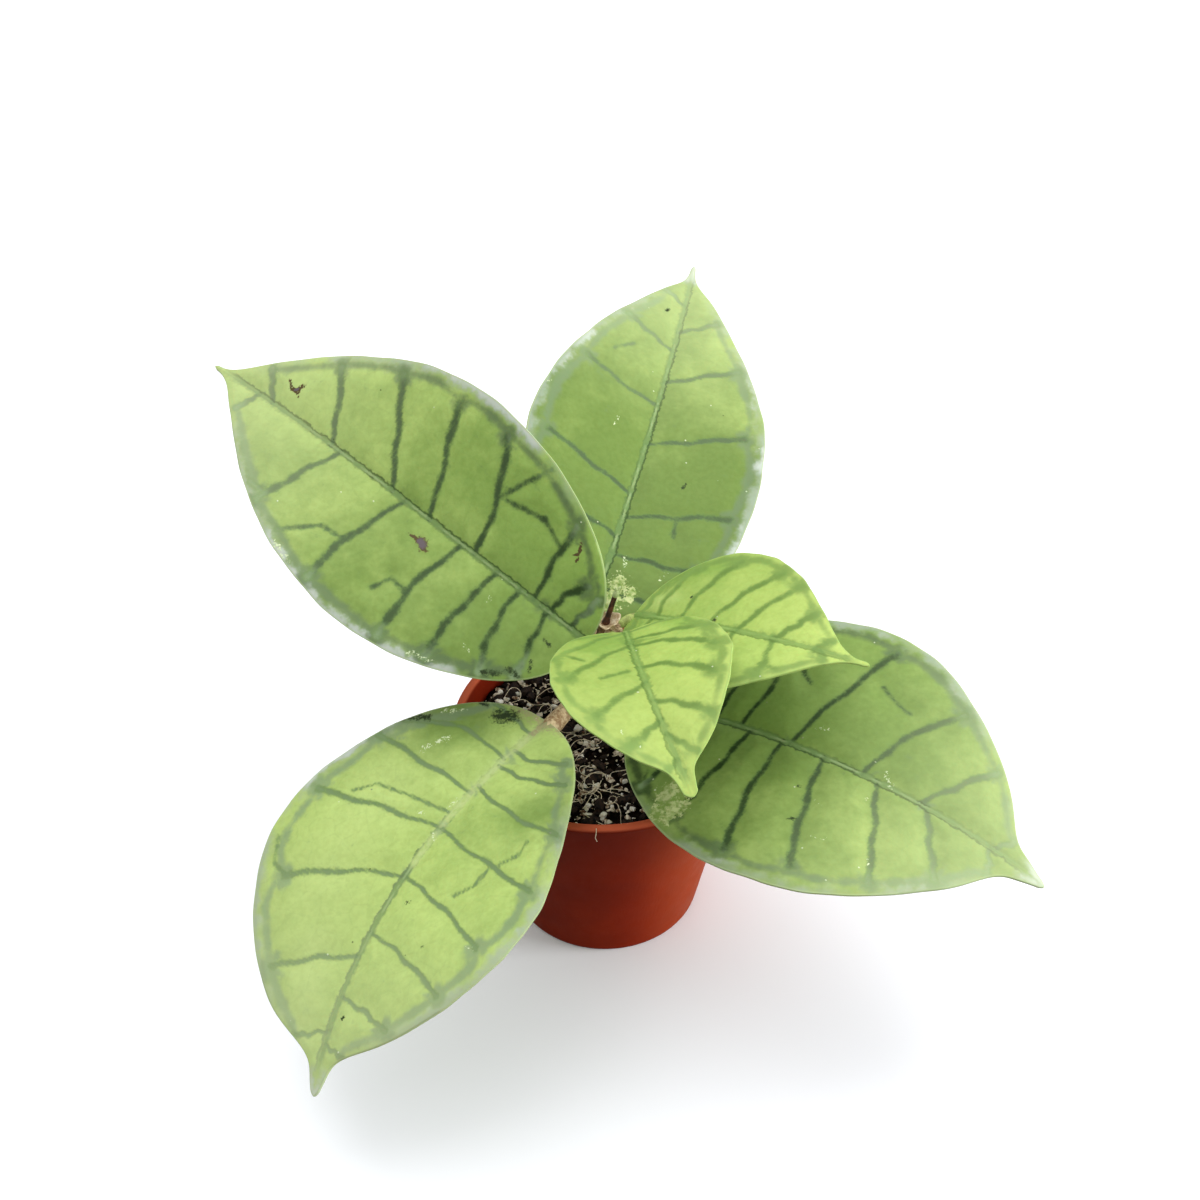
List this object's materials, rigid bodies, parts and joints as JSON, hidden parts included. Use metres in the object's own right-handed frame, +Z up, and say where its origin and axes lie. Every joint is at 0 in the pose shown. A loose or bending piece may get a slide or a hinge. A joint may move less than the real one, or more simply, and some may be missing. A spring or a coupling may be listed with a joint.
{
  "type": "potted hoya callistophylla",
  "caption": "Small potted climbing plant: a short woody stem with broad pointed leaves, in a tapered round nursery pot filled with soil.",
  "frame": {"origin": "middle of the pot's flat underside, on the surface that it stands on", "axes": "+Z up along the pot's axis, +X to the right and +Y away as the plant is usually looked at"},
  "size_m": [0.156, 0.1709, 0.107],
  "materials": {
    "pot_plastic": "satin terracotta-coloured plastic",
    "soil": "dark damp bark and peat mix with pale perlite grains",
    "stem_bark": "matte tan-brown young bark",
    "growing_tip": "smooth dark red-brown shoot",
    "grown_leaf": "semi-gloss waxy leaf with dark veins",
    "young_leaf": "satin lime-green young leaf with soft grey-green veins"
  },
  "bodies": {
    "root": {"pot": "pot_plastic", "soil": "soil", "stem": "stem_bark", "growing_tip": "growing_tip", "leaf_left": "grown_leaf", "leaf_back": "grown_leaf", "leaf_lower_left": "grown_leaf", "leaf_right": "grown_leaf", "leaf_young_front": "young_leaf", "leaf_young_right": "young_leaf"}
  },
  "joints": []
}
